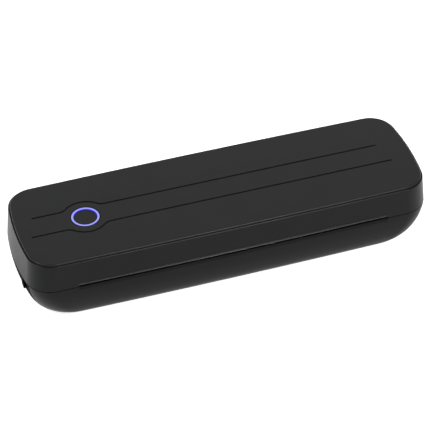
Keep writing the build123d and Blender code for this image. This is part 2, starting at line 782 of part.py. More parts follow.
# brackets that hang from the lid and carry the roller
bracket_bottom = part_z + side_gap
ledge_z = part_z + catch_rise
ledge_front = lock_y + hook_width / 2 + catch_gap
bracket_front = platen_y - bushing_radius - bracket_margin
bracket_rear = platen_y + bushing_radius + bracket_thickness
for side, (low, high) in mirrored(bracket_inner, bracket_outer).items():
    foot_reach = boss_diameter + side_gap
    foot_low, foot_high = mirrored(bracket_inner - foot_reach, bracket_outer)[side]
    with BuildPart() as bracket:
        add(plate_profile(low, high, [
            (ledge_front, bracket_bottom), (bracket_rear, bracket_bottom), (bracket_rear, bracket_foot_z),
            (bracket_front, bracket_foot_z), (bracket_front, ledge_z), (ledge_front, ledge_z),
        ]))
        foot_y_range = (platen_y - boss_diameter, platen_y + bracket_foot_reach)
        add(block((foot_low, foot_high), foot_y_range, (bracket_foot_z - bracket_thickness, bracket_foot_z)))
        add(rod(low, high, platen_centre, bushing_diameter + 2 * pin_fit), mode=Mode.SUBTRACT)
        with BuildSketch(Plane.XY.offset(bracket_foot_z)):
            with Locations(*bracket_screws_at):
                Circle(screw_diameter / 2 + pin_fit)
        extrude(amount=-bracket_thickness, mode=Mode.SUBTRACT)
    save(bracket.part, f"platen_bracket_{side}")

# ---------------------------------------------------------------- side frames
frame_front = lock_y - lock_shaft_diameter / 2 - catch_gap
frame_rear = head_pivot_y + frame_rear_reach
frame_top = platen_z + side_gap
notch_half = bushing_radius + hook_gap
cheek = notch_half + 2 * frame_thickness
ribbon_z = (floor_z + board_rise / 2, floor_z + board_rise - frame_thickness)
ribbon_y = (platen_y + spring_diameter + side_gap, platen_y + spring_diameter + side_gap + ribbon_width)
for side, (low, high) in mirrored(frame_inner, frame_outer).items():
    foot_low, foot_high = mirrored(frame_inner, frame_outer + boss_diameter + 2 * side_gap)[side]
    with BuildPart() as frame:
        add(plate_profile(low, high, [
            (platen_y - boss_diameter, frame_foot_z), (frame_front, lock_z - lock_drop),
            (frame_front, lock_z + lock_shaft_diameter), (platen_y - cheek, part_z + side_gap),
            (platen_y - cheek, frame_top), (platen_y + cheek, frame_top), (platen_y + cheek, part_z),
            (frame_rear, part_z - lock_drop), (frame_rear, frame_foot_z),
        ]))
        foot_y_range = (platen_y - boss_diameter, frame_rear)
        add(block((foot_low, foot_high), foot_y_range, (frame_foot_z, frame_foot_z + frame_thickness)))
        # open-topped notch that the roller's bushing drops into
        add(rod(low, high, platen_centre, 2 * notch_half), mode=Mode.SUBTRACT)
        add(block((low, high), (platen_y - notch_half, platen_y + notch_half), (platen_z, frame_top)),
            mode=Mode.SUBTRACT)
        add(rod(low, high, (lock_y, lock_z), lock_shaft_diameter + 2 * running_gap), mode=Mode.SUBTRACT)
        add(rod(low, high, (head_pivot_y, head_pivot_z), head_pivot_diameter + 2 * pin_fit),
            mode=Mode.SUBTRACT)
        if side == "left":
            add(rod(low, high, upper_centre, idler_pin_diameter + 2 * pin_fit), mode=Mode.SUBTRACT)
            add(rod(low, high, lower_centre, idler_pin_diameter + 2 * pin_fit), mode=Mode.SUBTRACT)
            add(rod(low, high, pinion_centre, motor_hole_diameter), mode=Mode.SUBTRACT)
        else:
            add(block((low, high), (ribbon_y[0] - side_gap, ribbon_y[1] + side_gap), ribbon_z),
                mode=Mode.SUBTRACT)
        with BuildSketch(Plane.XY.offset(frame_foot_z)):
            with Locations(*frame_screws_at):
                Circle(screw_diameter / 2 + pin_fit)
        extrude(amount=frame_thickness, mode=Mode.SUBTRACT)
    save(frame.part, f"side_frame_{side}")

# ---------------------------------------------------------------- motor
motor_face = -frame_inner
with BuildPart() as motor:
    add(rod(motor_face, motor_face + motor_length, pinion_centre, motor_diameter))
    chamfer(motor.edges().group_by(Axis.X)[-1], side_gap)
    add(rod(motor_face, motor_face + motor_bore_depth, pinion_centre,
            motor_shaft_diameter + 2 * running_gap), mode=Mode.SUBTRACT)
save(motor.part, "stepper_motor")

with BuildPart() as motor_shaft:
    add(rod(-gear_outer - side_gap, motor_face + motor_bore_depth - side_gap, pinion_centre,
            motor_shaft_diameter))
save(motor_shaft.part, "motor_shaft")

# ---------------------------------------------------------------- print head
head_half = frame_inner - side_gap
head_front = platen_y - head_front_reach
with BuildPart() as head_carrier:
    add(block((-head_half, head_half), (head_front, platen_y + head_rear_reach),
              (carrier_bottom_z, carrier_top_z)))
    for low, high in mirrored(head_half - head_pivot_depth - side_gap, head_half).values():
        add(rod(low, high, (head_pivot_y, head_pivot_z), head_pivot_diameter + 2 * running_gap),
            mode=Mode.SUBTRACT)
save(head_carrier.part, "head_carrier")

with BuildPart() as head_strip:
    add(block((-head_half, head_half), (head_front, head_front + head_strip_depth),
              (carrier_top_z, head_top_z)))
    chamfer(head_strip.edges().filter_by(Axis.X).group_by(Axis.Z)[-1], side_gap)
save(head_strip.part, "print_head_strip")

for side, (low, high) in mirrored(head_half - head_pivot_depth, frame_outer).items():
    with BuildPart() as pivot_pin:
        add(rod(low, high, (head_pivot_y, head_pivot_z), head_pivot_diameter))
    save(pivot_pin.part, f"head_pivot_pin_{side}")

with BuildPart() as spring_rail:
    add(block((-frame_inner, frame_inner), (platen_y - spring_diameter, platen_y + spring_diameter),
              (rail_top_z - rail_thickness, rail_top_z)))
save(spring_rail.part, "spring_rail")

spring_pitch = 2 * frame_inner / spring_count
spring_radius = (spring_diameter - spring_wire) / 2
coil_height = spring_length - spring_wire - 2 * pin_fit
with BuildPart() as head_springs:
    for number in range(spring_count):
        x = (number - (spring_count - 1) / 2) * spring_pitch
        start = (x, platen_y, rail_top_z + spring_wire / 2 + pin_fit)
        with BuildLine() as coil:
            Helix(coil_height / spring_turns, coil_height, spring_radius, center=start)
        with BuildSketch(Plane(coil.line @ 0, z_dir=coil.line % 0)):
            Circle(spring_wire / 2)
        sweep(path=coil.line)
save(head_springs.part, "head_springs")

# ---------------------------------------------------------------- cover lock
nose_z = ledge_z + hook_gap
with BuildPart() as lock_shaft:
    add(rod(lever_x - side_gap, bracket_outer + side_gap, (lock_y, lock_z), lock_shaft_diameter))
save(lock_shaft.part, "lock_shaft")

for side, (low, high) in mirrored(bracket_inner, bracket_outer).items():
    stem_front, stem_rear = lock_y - hook_width / 2, lock_y + hook_width / 2
    locked = [(stem_front, lock_z), (stem_rear, lock_z), (stem_rear, nose_z), (stem_rear + hook_nose, nose_z),
              (stem_rear, nose_z + hook_height), (stem_front, nose_z + hook_height)]
    with BuildPart() as hook:
        add(plate_profile(low, high, [turned(point, lock_swing) for point in locked]))
        add(rod(low, high, (lock_y, lock_z), lock_hub_diameter))
        add(rod(low, high, (lock_y, lock_z), lock_shaft_diameter + 2 * pin_fit), mode=Mode.SUBTRACT)
    save(hook.part, f"lock_hook_{side}")

with BuildPart() as lock_lever:
    # arm from the shaft to the tab, then the tab through the end wall
    with BuildSketch(Plane.YZ.offset(lever_x)):
        with BuildLine():
            Line((lock_y, lock_z), (tab_y, tab_z))
        trace(line_width=lever_arm_width)
        with Locations((lock_y, lock_z), (tab_y, tab_z)):
            Circle(lever_arm_width / 2)
    extrude(amount=lever_thickness)
    with BuildSketch(Plane.YZ.offset(-half_length + tab_tip_inset)):
        with Locations((tab_y, tab_z)):
            RectangleRounded(tab_length, tab_thickness, tab_corner)
    extrude(amount=lever_setback - tab_tip_inset + lever_thickness)
    fillet(lock_lever.edges().group_by(Axis.X)[0], tab_rounding)
    add(rod(lever_x, lever_x + 2 * lever_thickness, (lock_y, lock_z), lock_hub_diameter))
    add(rod(lever_x, lever_x + 2 * lever_thickness, (lock_y, lock_z), lock_shaft_diameter + 2 * pin_fit),
        mode=Mode.SUBTRACT)
save(lock_lever.part, "lock_lever")

# ---------------------------------------------------------------- paper path
tray_half = frame_inner - 2 * side_gap
table_top = head_top_z - side_gap
table_front = platen_y + head_rear_reach + side_gap
bay_front = bay_y - bay_radius
bay_rear = bay_y + bay_radius
tray_bottom = bay_z - bay_radius - tray_wall
rear_lip_z = part_z - inlet_drop - side_gap
with BuildPart() as roll_tray:
    # trough of constant wall, with a paper table in front and a lip behind
    with BuildSketch(Plane.YZ):
        with Locations((bay_y, bay_z)):
            Circle(bay_radius + tray_wall)
            Rectangle(4 * bay_radius, 2 * bay_radius, align=(Align.CENTER, Align.MIN), mode=Mode.SUBTRACT)
        with Locations((bay_front - tray_wall, bay_z)):
            Rectangle(tray_wall, table_top - bay_z, align=Align.MIN)
        with Locations((bay_rear, bay_z)):
            Rectangle(tray_wall, rear_lip_z - bay_z, align=Align.MIN)
        with Locations((table_front, table_top - tray_wall)):
            Rectangle(bay_front - table_front, tray_wall, align=Align.MIN)
        with Locations((bay_y, bay_z)):
            Circle(bay_radius, mode=Mode.SUBTRACT)
    extrude(amount=tray_half, both=True)
    # end walls of the trough
    for low, high in mirrored(tray_half - tray_wall, tray_half).values():
        with BuildSketch(Plane.YZ.offset(low)):
            with Locations((bay_y, bay_z)):
                Circle(bay_radius + tray_wall)
                Rectangle(4 * bay_radius, 2 * bay_radius, align=(Align.CENTER, Align.MIN),
                          mode=Mode.SUBTRACT)
            with Locations((bay_front - tray_wall, bay_z)):
                Rectangle(2 * (bay_radius + tray_wall), rear_lip_z - bay_z, align=Align.MIN)
        extrude(amount=high - low)
    # ribs that stand on the base's floor and brace the table
    for share in rib_shares:
        with BuildSketch(Plane.YZ.offset(share * tray_half - tray_wall / 2)):
            with BuildLine():
                Polyline((bay_y - bay_radius / 2, floor_z), (bay_y + bay_radius / 2, floor_z),
                         (bay_y + bay_radius / 2, bay_z - bay_radius / 2),
                         (bay_y - bay_radius / 2, bay_z - bay_radius / 2), close=True)
            make_face()
            with BuildLine():
                Polyline((bay_front - tray_wall / 2, bay_z - bay_radius / 2),
                         (table_front + tray_wall, table_top - tray_wall / 2),
                         (bay_front - tray_wall / 2, table_top - tray_wall / 2), close=True)
            make_face()
            with Locations((bay_y, bay_z)):
                Circle(bay_radius, mode=Mode.SUBTRACT)
        extrude(amount=tray_wall)
    # pocket for the paper sensor
    add(block((-switch_size / 2, switch_size / 2), (table_front + tray_wall, table_front + tray_wall + switch_size),
              (table_top - tray_wall, table_top)), mode=Mode.SUBTRACT)
save(roll_tray.part, "roll_tray")

with BuildPart() as paper_sensor:
    add(block((-switch_size / 2 + pin_fit, switch_size / 2 - pin_fit),
              (table_front + tray_wall + pin_fit, table_front + tray_wall + switch_size - pin_fit),
              (table_top - 2 * tray_wall, table_top - pin_fit)))
save(paper_sensor.part, "paper_sensor")

# toothed steel strip behind the slot's upper lip
tear_front = -(half_depth - side_bow - wall) + side_gap / 2
tear_low = upper_lip_low_z - tear_depth
tear_teeth = int(2 * paper_half / tear_pitch)
with BuildPart() as tear_bar:
    with BuildSketch(Plane.XZ.offset(-tear_front)):
        with Locations((0, tear_low + tear_depth)):
            Rectangle(tear_teeth * tear_pitch, tear_height, align=(Align.CENTER, Align.MIN))
        with BuildLine():
            points = [(-tear_teeth * tear_pitch / 2, tear_low + 2 * tear_depth)]
            for number in range(tear_teeth):
                left = (number - tear_teeth / 2) * tear_pitch
                points += [(left, tear_low + tear_depth), (left + tear_pitch / 2, tear_low)]
            points += [(tear_teeth * tear_pitch / 2, tear_low + tear_depth),
                       (tear_teeth * tear_pitch / 2, tear_low + 2 * tear_depth)]
            Polyline(*points, close=True)
        make_face()
    extrude(amount=-tear_thickness)
save(tear_bar.part, "tear_bar")

# ---------------------------------------------------------------- power
cell_z = floor_z + side_gap + cell_diameter / 2
holder_low = motor_face + motor_length + 2 * side_gap
holder_inner = holder_low + holder_wall
cells_low = holder_inner + contact_thickness
cells_high = cells_low + 2 * cell_length + cell_gap
holder_high = cells_high + contact_thickness + holder_wall
holder_half = cell_diameter / 2 + holder_wall
with BuildPart() as battery_holder:
    add(block((holder_low, holder_high), (cell_y - holder_half, cell_y + holder_half), (floor_z, cell_z)))
    add(rod(holder_inner, holder_high - holder_wall, (cell_y, cell_z), cell_diameter + cell_gap),
        mode=Mode.SUBTRACT)
save(battery_holder.part, "battery_holder")

for number in range(2):
    low = cells_low + number * (cell_length + cell_gap)
    with BuildPart() as cell:
        add(rod(low, low + cell_length - nub_height, (cell_y, cell_z), cell_diameter))
        add(rod(low, low + cell_length, (cell_y, cell_z), nub_diameter))
    save(cell.part, f"battery_cell_{number + 1}")

with BuildPart() as battery_contacts:
    for low in (holder_inner, cells_high):
        add(block((low, low + contact_thickness), (cell_y - nub_diameter, cell_y + nub_diameter),
                  (cell_z - nub_diameter, cell_z)))
save(battery_contacts.part, "battery_contacts")

# ---------------------------------------------------------------- electronics
with BuildPart() as main_board:
    add(block((board_low_x, board_high_x), (-board_depth / 2, board_depth / 2), (board_z, board_top)))
    with BuildSketch(Plane.XY.offset(board_z)):
        with Locations(*board_screws_at):
            Circle(screw_diameter / 2 + pin_fit)
    extrude(amount=board_thickness, mode=Mode.SUBTRACT)
save(main_board.part, "main_board")

with BuildPart() as processor:
    add(block((board_low_x + nub_height, board_low_x + nub_height + processor_size),
              (-processor_size, 0), (board_top, board_top + chip_height)))
save(processor.part, "processor")

with BuildPart() as radio_module:
    add(block((board_low_x + nub_height, board_low_x + nub_height + processor_size),
              (-board_depth / 2 + nub_height, -board_depth / 2 + nub_height + processor_size),
              (board_top, board_top + 2 * chip_height)))
save(radio_module.part, "radio_module")

usb_mouth = half_length - draw_in(end_undercut, part_z - usb_z) - side_gap
with BuildPart() as usb_socket:
    with BuildSketch(Plane.YZ.offset(usb_mouth - usb_depth)):
        with Locations((usb_y, usb_z)):
            SlotOverall(usb_width, usb_height)
    extrude(amount=usb_depth)
    # hollow mouth with the contact tongue inside
    with BuildSketch(Plane.YZ.offset(usb_mouth)):
        with Locations((usb_y, usb_z)):
            SlotOverall(usb_width - 2 * usb_sheet, usb_height - 2 * usb_sheet)
            Rectangle(usb_tongue_width, usb_tongue_thickness, mode=Mode.SUBTRACT)
    extrude(amount=-usb_mouth_depth, mode=Mode.SUBTRACT)
save(usb_socket.part, "usb_socket")

connector_x = (board_low_x + side_gap, board_low_x + side_gap + ribbon_width)
with BuildPart() as board_connector:
    add(block(connector_x, ribbon_y, (board_z - connector_height, board_z)))
save(board_connector.part, "board_connector")

head_plug_x = (head_half - 2 * head_pivot_depth - ribbon_width, head_half - 2 * head_pivot_depth)
head_plug_z = carrier_bottom_z - connector_height
with BuildPart() as head_connector:
    add(block(head_plug_x, ribbon_y, (head_plug_z, carrier_bottom_z)))
save(head_connector.part, "head_connector")

ribbon_low = sum(ribbon_z) / 2
ribbon_x = (sum(head_plug_x) / 2, sum(connector_x) / 2)
with BuildPart() as head_ribbon:
    with BuildSketch(Plane.XZ.offset(-ribbon_y[0])):
        with BuildLine():
            FilletPolyline((ribbon_x[0], head_plug_z - side_gap), (ribbon_x[0], ribbon_low),
                           (ribbon_x[1], ribbon_low), (ribbon_x[1], board_z - connector_height),
                           radius=nub_height)
        trace(line_width=ribbon_thickness)
    extrude(amount=-ribbon_width)
save(head_ribbon.part, "head_ribbon")

# ---------------------------------------------------------------- screws
def screws(places, seat_z, up):
    """Pan-head screws driven down onto a seat, or up against one."""
    way = 1 if up else -1
    with BuildPart() as group:
        with BuildSketch(Plane.XY.offset(seat_z)):
            with Locations(*places):
                Circle(screw_diameter / 2 - pin_fit)
        extrude(amount=way * screw_length)
        with BuildSketch(Plane.XY.offset(seat_z)):
            with Locations(*places):
                Circle(screw_head_diameter / 2)
        extrude(amount=-way * screw_head_height)
        with BuildSketch(Plane.XY.offset(seat_z - way * screw_head_height)):
            with Locations(*places):
                RegularPolygon(screw_socket, 6)
        extrude(amount=way * screw_head_height / 2, mode=Mode.SUBTRACT)
    return group.part


save(screws(frame_screws_at, frame_foot_z + frame_thickness, up=False), "frame_screws")
save(screws(board_screws_at, board_top, up=False), "board_screws")
save(screws(bracket_screws_at, bracket_foot_z - bracket_thickness, up=True), "bracket_screws")
save(screws(button_posts_at, button_board_z, up=True), "button_board_screws")
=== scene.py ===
import bmesh
import bpy
import json
import math
from mathutils import Matrix, Vector
from mathutils.kdtree import KDTree


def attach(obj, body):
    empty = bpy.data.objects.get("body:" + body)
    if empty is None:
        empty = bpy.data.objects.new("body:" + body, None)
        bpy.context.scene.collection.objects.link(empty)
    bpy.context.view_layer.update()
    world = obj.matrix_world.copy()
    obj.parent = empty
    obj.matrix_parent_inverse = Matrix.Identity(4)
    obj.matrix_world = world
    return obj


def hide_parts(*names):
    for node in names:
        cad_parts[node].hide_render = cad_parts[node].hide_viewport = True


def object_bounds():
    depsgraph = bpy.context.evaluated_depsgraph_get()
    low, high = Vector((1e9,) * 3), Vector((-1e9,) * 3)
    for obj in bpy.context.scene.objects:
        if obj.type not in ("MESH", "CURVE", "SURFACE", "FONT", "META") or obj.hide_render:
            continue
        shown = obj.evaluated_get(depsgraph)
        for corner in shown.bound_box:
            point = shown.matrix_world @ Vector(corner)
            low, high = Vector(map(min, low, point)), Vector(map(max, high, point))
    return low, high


# Portable A4 thermal printer. Metres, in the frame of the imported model:
# +X right, -Y front, +Z up, the floor at z = 0.

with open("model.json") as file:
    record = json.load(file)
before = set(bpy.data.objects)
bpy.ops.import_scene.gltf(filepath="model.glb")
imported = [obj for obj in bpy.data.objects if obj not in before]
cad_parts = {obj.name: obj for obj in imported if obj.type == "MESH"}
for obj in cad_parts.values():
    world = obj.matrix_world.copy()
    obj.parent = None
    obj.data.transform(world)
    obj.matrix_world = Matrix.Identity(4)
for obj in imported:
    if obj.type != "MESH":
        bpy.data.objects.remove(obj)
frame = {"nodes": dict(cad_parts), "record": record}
cad_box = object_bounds()
nodes = frame["nodes"]
MM = 0.001

# ---------------------------------------------------------------- camera
camera_place = Vector((-0.304996, -0.964458, 0.901452))
camera_turn = math.radians(-17.46396)
camera_rise = math.radians(40.76822)
camera_roll = math.radians(-0.73099)
CAMERA_LENS = 163.632

right = Vector((math.cos(camera_turn), math.sin(camera_turn), 0))
back = Vector((math.sin(camera_turn) * math.cos(camera_rise),
               -math.cos(camera_turn) * math.cos(camera_rise),
               math.sin(camera_rise)))
up = back.cross(right)
rolled_right = right * math.cos(camera_roll) + up * math.sin(camera_roll)
rolled_up = up * math.cos(camera_roll) - right * math.sin(camera_roll)
turn = Matrix((rolled_right, rolled_up, back)).transposed().to_4x4()

camera_data = bpy.data.cameras.new("studio_camera")
camera_data.lens = CAMERA_LENS
camera_data.sensor_width = 36.0
camera = bpy.data.objects.new("studio_camera", camera_data)
camera.matrix_world = Matrix.Translation(camera_place) @ turn
bpy.context.scene.collection.objects.link(camera)
bpy.context.scene.camera = camera
bpy.context.scene.view_settings.view_transform = "Standard"


# ---------------------------------------------------------------- finishes
def group(name, inputs, outputs):
    """An empty shader group with float inputs {name: default} and outputs {name: socket type}."""
    tree = bpy.data.node_groups.new(name, "ShaderNodeTree")
    for label, value in inputs.items():
        tree.interface.new_socket(label, in_out="INPUT", socket_type="NodeSocketFloat").default_value = value
    for label, kind in outputs.items():
        tree.interface.new_socket(label, in_out="OUTPUT", socket_type=kind)
    return tree, tree.nodes.new("NodeGroupInput"), tree.nodes.new("NodeGroupOutput")


def node(tree, kind, **settings):
    made = tree.nodes.new(kind)
    for key, value in settings.items():
        setattr(made, key, value)
    return made


def spark_eroded_grain():
    """Fine moulded grain: Height for a bump, Mottle from 0 to 1 for tone and roughness."""
    tree, source, target = group("spark_eroded_grain", {"Grain Size": 0.35, "Depth": 1.0},
                                 {"Height": "NodeSocketFloat", "Mottle": "NodeSocketFloat"})
    place = node(tree, "ShaderNodeTexCoord")
    scale = node(tree, "ShaderNodeMath", operation="DIVIDE")
    scale.inputs[0].default_value = 1000.0
    fine = node(tree, "ShaderNodeTexNoise", noise_dimensions="3D")
    fine.inputs["Detail"].default_value = 3.0
    fine.inputs["Roughness"].default_value = 0.6
    broad = node(tree, "ShaderNodeTexNoise", noise_dimensions="3D")
    broad.inputs["Scale"].default_value = 38.0
    broad.inputs["Detail"].default_value = 4.0
    depth = node(tree, "ShaderNodeMath", operation="MULTIPLY")
    link = tree.links.new
    link(source.outputs["Grain Size"], scale.inputs[1])
    link(place.outputs["Object"], fine.inputs["Vector"])
    link(scale.outputs[0], fine.inputs["Scale"])
    link(place.outputs["Object"], broad.inputs["Vector"])
    link(fine.outputs["Fac"], depth.inputs[0])
    link(source.outputs["Depth"], depth.inputs[1])
    link(depth.outputs[0], target.inputs["Height"])
    link(broad.outputs["Fac"], target.inputs["Mottle"])
    return tree


def drawn_lines():
    """Fine lines along X, as on drawn, ground or rolled metal: Height and Streak."""
    tree, source, target = group("drawn_lines", {"Fineness": 1.0},
                                 {"Height": "NodeSocketFloat", "Streak": "NodeSocketFloat"})
    place = node(tree, "ShaderNodeTexCoord")
    stretch = node(tree, "ShaderNodeMapping")
    stretch.inputs["Scale"].default_value = (40.0, 2200.0, 2200.0)
    lines = node(tree, "ShaderNodeTexNoise", noise_dimensions="3D")
    lines.inputs["Detail"].default_value = 2.0
    link = tree.links.new
    link(place.outputs["Object"], stretch.inputs["Vector"])
    link(stretch.outputs["Vector"], lines.inputs["Vector"])
    link(source.outputs["Fineness"], lines.inputs["Scale"])
    link(lines.outputs["Fac"], target.inputs["Height"])
    link(lines.outputs["Fac"], target.inputs["Streak"])
    return tree


# the ring's place and size at its top face, from its CAD node: its flange below is wider
DIGITS = 5                      # of a metre, which takes off the mesh's rounding
TOP_LAYER = 0.05 * MM
ring_places = [vertex.co for vertex in nodes["light_ring"].data.vertices]
ring_top = round(max(place.z for place in ring_places), DIGITS)
top_x = [place.x for place in ring_places if place.z > ring_top - TOP_LAYER]
top_y = [place.y for place in ring_places if place.z > ring_top - TOP_LAYER]
ring_middle = (round((min(top_x) + max(top_x)) / 2, DIGITS), round((min(top_y) + max(top_y)) / 2, DIGITS), 0)
ring_radius = round((max(top_x) - min(top_x)) / 2, DIGITS)
LIT_INSET = 0.15 * MM           # the ring's glow ends this far in from its outer wall

grain_group = spark_eroded_grain()
lines_group = drawn_lines()


def material(name):
    made = bpy.data.materials.new(name)
    made.use_nodes = True
    tree = made.node_tree
    return made, tree, tree.nodes["Principled BSDF"]


NOISE_LOW, NOISE_HIGH = 0.3, 0.7   # the span in which the noise textures' values lie


def between(tree, factor, low, high, socket):
    """Feeds a colour or value that runs from low to high with a factor output into a socket."""
    if isinstance(low, (int, float)):
        spread = node(tree, "ShaderNodeMapRange")
        spread.inputs["From Min"].default_value = NOISE_LOW
        spread.inputs["From Max"].default_value = NOISE_HIGH
        spread.inputs["To Min"].default_value = low
        spread.inputs["To Max"].default_value = high
        tree.links.new(factor, spread.inputs["Value"])
        tree.links.new(spread.outputs["Result"], socket)
        return
    ramp = node(tree, "ShaderNodeValToRGB")
    ramp.color_ramp.elements[0].position = NOISE_LOW
    ramp.color_ramp.elements[0].color = (*low, 1)
    ramp.color_ramp.elements[1].position = NOISE_HIGH
    ramp.color_ramp.elements[1].color = (*high, 1)
    tree.links.new(factor, ramp.inputs["Fac"])
    tree.links.new(ramp.outputs["Color"], socket)


def raised(tree, shader, height, distance, strength):
    """Feeds a height into the shader's normal."""
    bump = node(tree, "ShaderNodeBump")
    bump.inputs["Distance"].default_value = distance
    bump.inputs["Strength"].default_value = strength
    tree.links.new(height, bump.inputs["Height"])
    tree.links.new(bump.outputs["Normal"], shader.inputs["Normal"])


def moulded(name, colour, roughness, grain=0.35, relief=0.05, contrast=0.12, ior=1.45, coat=0.0, shine=0.5,
            spread=0.03):
    """Moulded plastic or rubber with a fine grain."""
    made, tree, shader = material(name)
    skin = node(tree, "ShaderNodeGroup", node_tree=grain_group)
    skin.inputs["Grain Size"].default_value = grain
    low = tuple(c * (1 - contrast) for c in colour)
    high = tuple(c * (1 + contrast) for c in colour)
    between(tree, skin.outputs["Mottle"], low, high, shader.inputs["Base Color"])
    between(tree, skin.outputs["Mottle"], roughness - spread, roughness + spread, shader.inputs["Roughness"])
    raised(tree, shader, skin.outputs["Height"], 0.02 * MM, relief)
    shader.inputs["IOR"].default_value = ior
    shader.inputs["Specular IOR Level"].default_value = shine
    shader.inputs["Coat Weight"].default_value = coat
    shader.inputs["Coat Roughness"].default_value = 0.08
    return made


def metal(name, colour, roughness, fineness=1.0, contrast=0.08, spread=0.05, relief=0.15):
    """Drawn, ground or rolled metal."""
    made, tree, shader = material(name)
    skin = node(tree, "ShaderNodeGroup", node_tree=lines_group)
    skin.inputs["Fineness"].default_value = fineness
    low = tuple(c * (1 - contrast) for c in colour)
    high = tuple(min(1.0, c * (1 + contrast)) for c in colour)
    between(tree, skin.outputs["Streak"], low, high, shader.inputs["Base Color"])
    between(tree, skin.outputs["Streak"], roughness - spread, roughness + spread, shader.inputs["Roughness"])
    raised(tree, shader, skin.outputs["Height"], 0.01 * MM, relief)
    shader.inputs["Metallic"].default_value = 1.0
    return made


def lit_guide(name, face, wall, top_z, middle, dark_radius):
    """Milky light guide, lit from below: a pale glowing top face, walls that glow a deeper, darker blue as
    painted shade on the inner wall, and a dark outer wall.
    """
    made, tree, shader = material(name)
    place = node(tree, "ShaderNodeTexCoord")
    split = node(tree, "ShaderNodeSeparateXYZ")
    level = node(tree, "ShaderNodeMapRange", interpolation_type="SMOOTHSTEP")
    level.inputs["From Min"].default_value = top_z - 0.25 * MM
    level.inputs["From Max"].default_value = top_z - 0.02 * MM
    cloud = node(tree, "ShaderNodeTexNoise", noise_dimensions="3D")
    cloud.inputs["Scale"].default_value = 260.0
    haze = node(tree, "ShaderNodeMapRange")
    haze.inputs["To Min"].default_value = 0.9
    haze.inputs["To Max"].default_value = 1.1
    # the walls' glow colour is darker than the top face's: painted shade on the inner wall
    shade = node(tree, "ShaderNodeMix", data_type="RGBA")
    shade.inputs["A"].default_value = (*wall, 1)
    shade.inputs["B"].default_value = (*face, 1)
    glow = node(tree, "ShaderNodeVectorMath", operation="SCALE")
    reach = node(tree, "ShaderNodeVectorMath", operation="SUBTRACT")
    reach.inputs[1].default_value = middle
    flat = node(tree, "ShaderNodeVectorMath", operation="MULTIPLY")
    flat.inputs[1].default_value = (1, 1, 0)
    radius = node(tree, "ShaderNodeVectorMath", operation="LENGTH")
    inside = node(tree, "ShaderNodeMapRange")
    inside.inputs["From Min"].default_value = dark_radius - 0.12 * MM
    inside.inputs["From Max"].default_value = dark_radius
    inside.inputs["To Min"].default_value = 1.0
    inside.inputs["To Max"].default_value = 0.0
    light = node(tree, "ShaderNodeMath", operation="MULTIPLY")
    link = tree.links.new
    link(place.outputs["Object"], split.inputs[0])
    link(place.outputs["Object"], cloud.inputs["Vector"])
    link(split.outputs["Z"], level.inputs["Value"])
    link(level.outputs["Result"], shade.inputs["Factor"])
    link(cloud.outputs["Fac"], haze.inputs["Value"])
    link(place.outputs["Object"], reach.inputs[0])
    link(reach.outputs["Vector"], flat.inputs[0])
    link(flat.outputs["Vector"], radius.inputs[0])
    link(radius.outputs["Value"], inside.inputs["Value"])
    link(shade.outputs["Result"], glow.inputs[0])
    link(haze.outputs["Result"], light.inputs[0])
    link(inside.outputs["Result"], light.inputs[1])
    link(light.outputs[0], glow.inputs["Scale"])
    link(glow.outputs["Vector"], shader.inputs["Emission Color"])
    shader.inputs["Emission Strength"].default_value = 1.0
    shader.inputs["Base Color"].default_value = (0.02, 0.02, 0.06, 1)
    shader.inputs["Roughness"].default_value = 0.3
    shader.inputs["IOR"].default_value = 1.3
    return made


